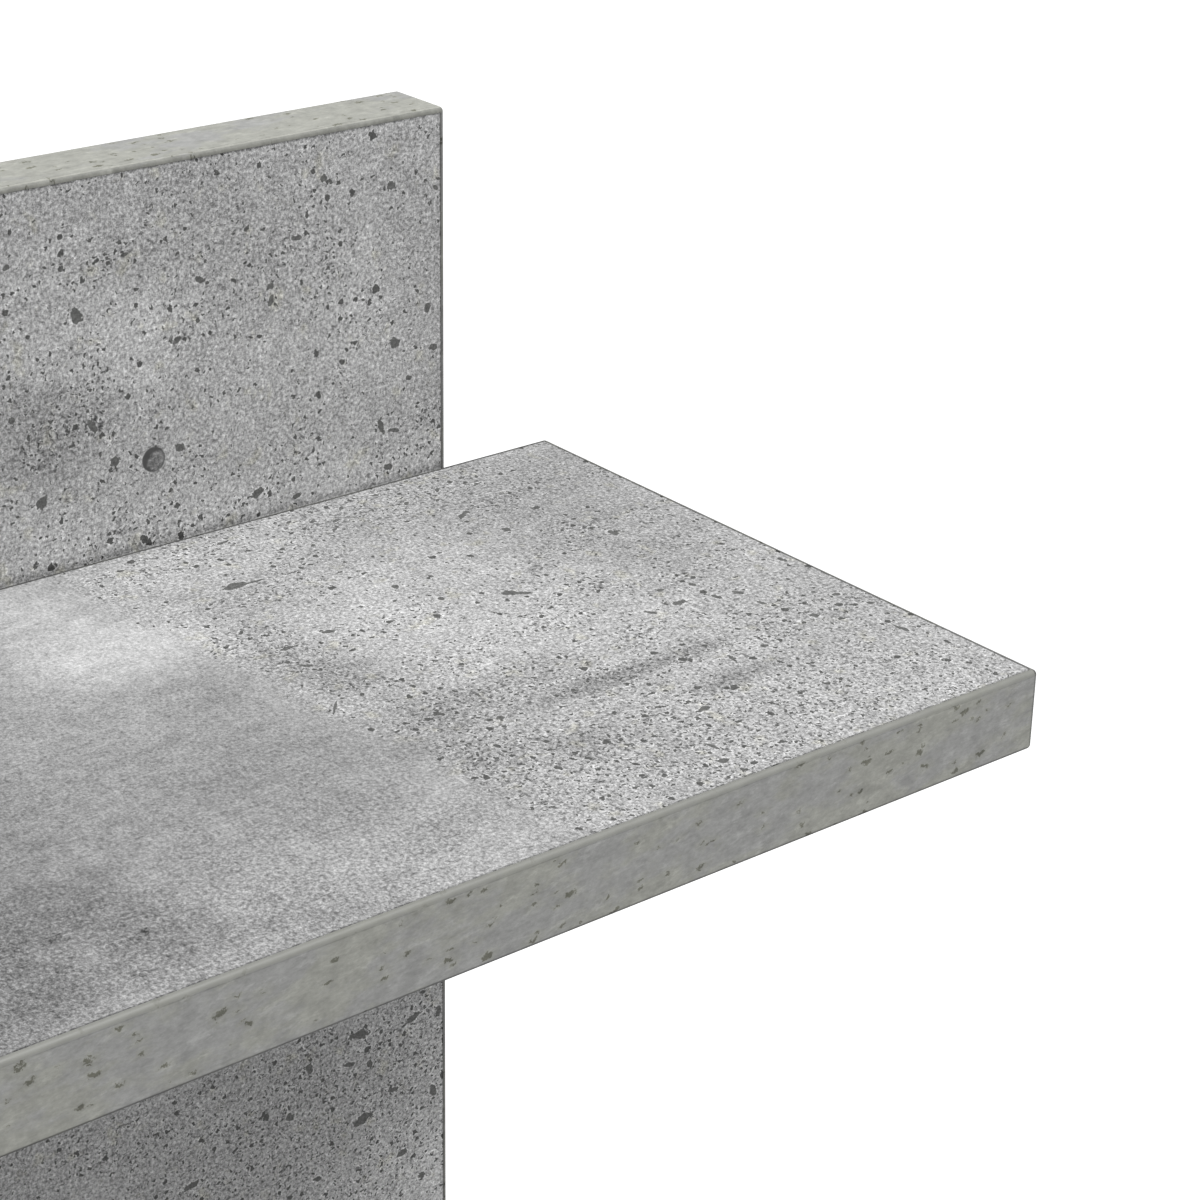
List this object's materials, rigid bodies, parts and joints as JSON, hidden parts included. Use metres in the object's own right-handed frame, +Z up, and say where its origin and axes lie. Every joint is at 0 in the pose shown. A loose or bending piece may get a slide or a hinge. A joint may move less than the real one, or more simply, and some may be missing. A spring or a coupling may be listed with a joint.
{
  "type": "wall shelf unit",
  "caption": "Wall-hung shelf unit of thin concrete-effect boards: a back panel with horizontal shelves butted to its front and overhanging its sides.",
  "frame": {"origin": "centre of the back panel's rear face, which lies on the wall", "axes": "+X right along the shelves seen from the front, +Y into the wall, +Z up"},
  "size_m": [0.85, 0.15, 0.525],
  "materials": {
    "concrete_decor_board": "matt melamine face printed as grey concrete with fine pits",
    "grey_edge_band": "matt olive-grey edge band",
    "zinc_screw": "zinc plated",
    "beech": "raw beech",
    "zinc_plate": "zinc plated sheet"
  },
  "bodies": {
    "root": {"back_panel_board": "concrete_decor_board", "upper_shelf_board": "concrete_decor_board", "lower_shelf_board": "concrete_decor_board", "back_panel_top_band": "grey_edge_band", "back_panel_bottom_band": "grey_edge_band", "back_panel_left_band": "grey_edge_band", "back_panel_right_band": "grey_edge_band", "upper_shelf_front_band": "grey_edge_band", "upper_shelf_rear_band": "grey_edge_band", "upper_shelf_left_band": "grey_edge_band", "upper_shelf_right_band": "grey_edge_band", "lower_shelf_front_band": "grey_edge_band", "lower_shelf_rear_band": "grey_edge_band", "lower_shelf_left_band": "grey_edge_band", "lower_shelf_right_band": "grey_edge_band", "upper_shelf_screws": "zinc_screw", "lower_shelf_screws": "zinc_screw", "hanger_plate_screws": "zinc_screw", "upper_shelf_dowels": "beech", "lower_shelf_dowels": "beech", "left_hanger_plate": "zinc_plate", "right_hanger_plate": "zinc_plate"}
  },
  "joints": []
}
